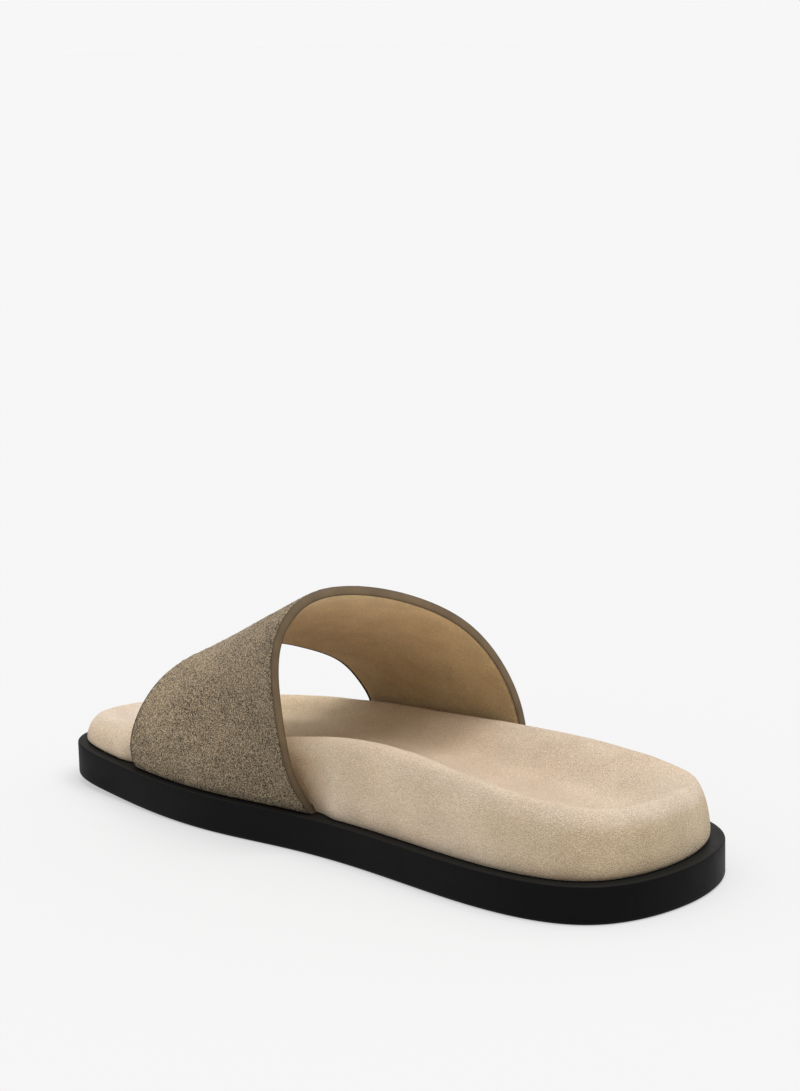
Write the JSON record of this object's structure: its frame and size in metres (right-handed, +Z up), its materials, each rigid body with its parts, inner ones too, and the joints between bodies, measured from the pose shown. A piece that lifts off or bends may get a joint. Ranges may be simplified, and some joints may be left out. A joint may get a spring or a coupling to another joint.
{
  "type": "slide sandal",
  "caption": "Right slide sandal: black foam rubber outsole, contoured suede footbed with heel cup and arch, and one wide nubuck strap.",
  "frame": {"origin": "on the floor, under the middle of the sandal's bounding box", "axes": "+X towards the toe, +Y towards the medial (arch) side, +Z up"},
  "size_m": [0.27, 0.0972, 0.0898],
  "materials": {
    "outsole_rubber": "matte black foam rubber with a fine skin",
    "footbed_suede": "sand suede with a short soft nap",
    "strap_nubuck": "taupe brown nubuck with a coarse speckled grain"
  },
  "bodies": {
    "root": {"outsole": "outsole_rubber", "footbed": "footbed_suede", "strap": "strap_nubuck"}
  },
  "joints": []
}
